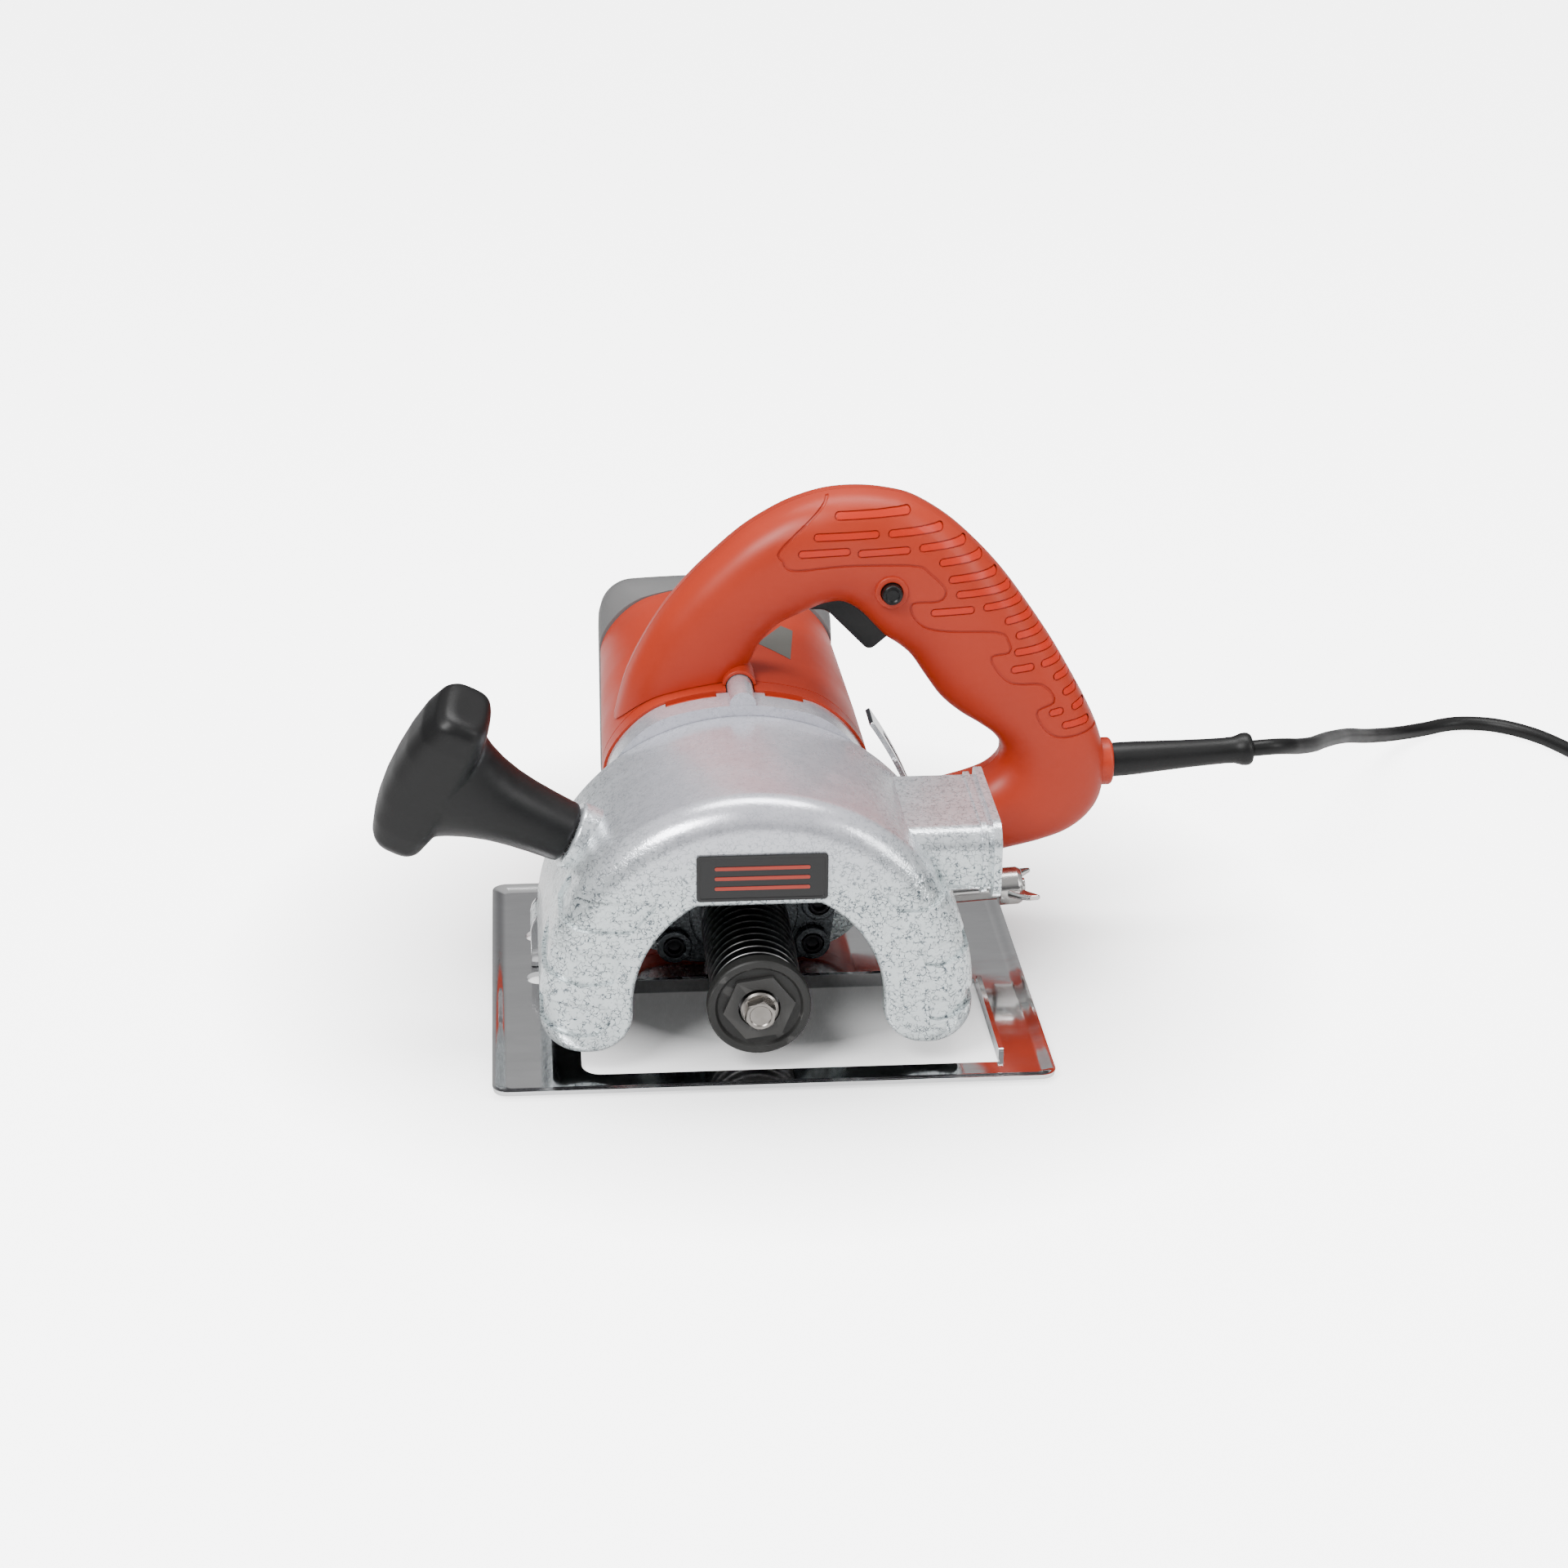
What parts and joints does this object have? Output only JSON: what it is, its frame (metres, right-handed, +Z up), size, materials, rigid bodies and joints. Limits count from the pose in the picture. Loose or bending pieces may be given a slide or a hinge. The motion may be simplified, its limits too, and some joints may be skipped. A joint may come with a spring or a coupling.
{
  "type": "wall chaser",
  "caption": "Corded circular saw for wall grooves, cast hood with dust spout, tilting depth sole, D-handle and T-handle",
  "frame": {"origin": "On the underside of the sole, straight below the spindle's axis, in the plane where the hood meets the gear case.", "axes": "X runs along the sole from the T-handle side to the cord side. Y runs along the spindle from the blade side to the motor end. Z is up."},
  "size_m": [0.6756, 0.3481, 0.1991],
  "materials": {
    "hammered_casting": "hammered silver paint on a casting",
    "orange_plastic": "satin moulded plastic",
    "grey_plastic": "satin moulded plastic",
    "black_plastic": "satin moulded plastic",
    "soft_rubber": "matt rubber",
    "chromed_steel": "bright chrome on pressed sheet",
    "black_steel": "oiled black oxide",
    "steel": "turned and ground steel",
    "copper": "bright copper",
    "brass": "bright brass"
  },
  "bodies": {
    "sole": {"base_plate": "chromed_steel", "hinge_bracket": "chromed_steel", "hinge_pin": "steel", "depth_strip": "chromed_steel", "supply_cord": "soft_rubber", "cord_coil": "soft_rubber", "cord_tail": "soft_rubber", "plug_body": "soft_rubber", "plug_pin_left": "brass", "plug_pin_right": "brass"},
    "machine": {"hood": "hammered_casting", "gear_case": "hammered_casting", "gear_cover": "hammered_casting", "motor_housing": "orange_plastic", "handle_front_shell": "orange_plastic", "handle_rear_shell": "orange_plastic", "end_cap": "grey_plastic", "front_badge": "black_plastic", "switch_body": "black_plastic", "side_handle_grip": "soft_rubber", "cord_guard": "soft_rubber", "cover_screw_1": "black_steel", "cover_screw_2": "black_steel", "cover_screw_3": "black_steel", "cover_screw_4": "black_steel", "handle_screw_1": "black_steel", "handle_screw_2": "black_steel", "carbon_brush_left": "black_steel", "carbon_brush_right": "black_steel", "clamp_screw": "steel", "side_handle_stud": "steel", "spindle_front_bearing": "steel", "spindle_rear_bearing": "steel", "armature_front_bearing": "steel", "armature_rear_bearing": "steel", "stator": "steel", "brush_holder_left": "brass", "brush_holder_right": "brass"},
    "spindle_set": {"spindle": "black_steel", "driven_gear": "steel", "inner_flange": "black_steel", "blade_spacer_1": "black_steel", "blade_spacer_2": "black_steel", "blade_spacer_3": "black_steel", "blade_spacer_4": "black_steel", "blade_spacer_5": "black_steel", "blade_spacer_6": "black_steel", "blade_spacer_7": "black_steel", "blade_spacer_8": "black_steel", "outer_flange": "black_steel", "flange_bolt": "steel"},
    "armature": {"armature_shaft": "steel", "armature_core": "steel", "commutator": "copper", "cooling_fan": "black_plastic", "pinion": "steel"},
    "clamp_nut": {"wing_nut": "steel"},
    "trigger_lever": {"trigger": "black_plastic"},
    "lock_pin": {"lock_button": "black_plastic"}
  },
  "joints": [
    {"name": "depth_tilt", "type": "hinge", "parent": "sole", "child": "machine", "pos_m": [-0.08, 0.012, 0.018], "axis": [0, -1, 0], "range_deg": [0, 25]},
    {"name": "spindle_spin", "type": "hinge", "parent": "machine", "child": "spindle_set", "pos_m": [0, 0, 0.0295], "axis": [0, 1, 0], "continuous": true},
    {"name": "armature_spin", "type": "hinge", "parent": "machine", "child": "armature", "pos_m": [-0.0015, 0, 0.06447], "axis": [0, 1, 0], "continuous": true},
    {"name": "wing_nut_turn", "type": "hinge", "parent": "machine", "child": "clamp_nut", "pos_m": [0.11364, 0.011, 0.02984], "axis": [0.9981, 0, 0.061], "continuous": true},
    {"name": "trigger_pull", "type": "hinge", "parent": "machine", "child": "trigger_lever", "pos_m": [0.03, 0.04, 0.1525], "axis": [0, -1, 0], "range_deg": [0, 8], "stiffness_Nm_per_rad": 0.6, "springref_deg": -8.59},
    {"name": "lock_button_press", "type": "slide", "parent": "machine", "child": "lock_pin", "axis": [0, 1, 0], "range_m": [0, 0.0035], "stiffness_N_per_m": 400, "springref_m": -0.002}
  ],
  "couplings": [
    {"joint": "armature_spin", "follows": "spindle_spin", "ratio": -1.5455}
  ]
}
